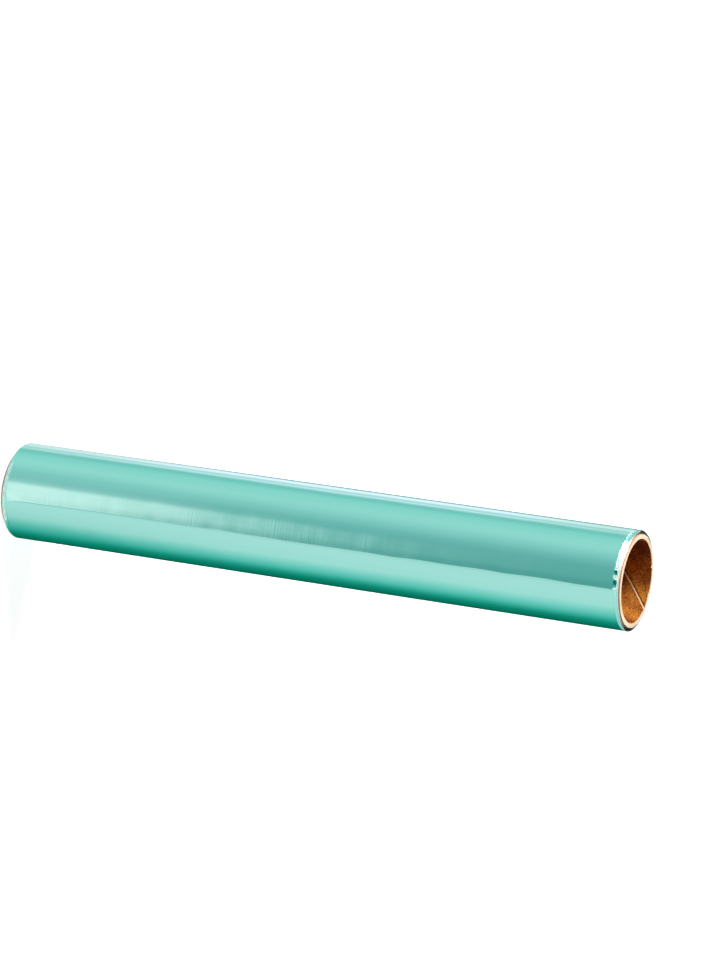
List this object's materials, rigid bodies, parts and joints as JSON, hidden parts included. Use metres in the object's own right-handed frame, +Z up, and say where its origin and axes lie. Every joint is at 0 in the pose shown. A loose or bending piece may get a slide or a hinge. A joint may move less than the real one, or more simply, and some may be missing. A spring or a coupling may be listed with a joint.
{
  "type": "aluminium foil roll",
  "caption": "Kitchen roll of tinted aluminium foil, wound on a spiral cardboard core with an open bore, standing on its end.",
  "frame": {"origin": "middle of the core's lower end, on the surface that the roll stands on", "axes": "+Z up the axis of the roll, towards the end that the picture shows open; the tail edge of the outer turn is at 78.5 degrees from +X towards -Y, so it faces -Y"},
  "size_m": [0.0442, 0.0443, 0.3027],
  "materials": {
    "tinted_foil": "aluminium foil with a clear green-blue lacquer, bright rolled, bare silver at its cut edges",
    "core_board": "spiral-wound brown paperboard, matt, pale where it is cut"
  },
  "bodies": {
    "root": {"foil_winding": "tinted_foil", "paper_core": "core_board"}
  },
  "joints": []
}
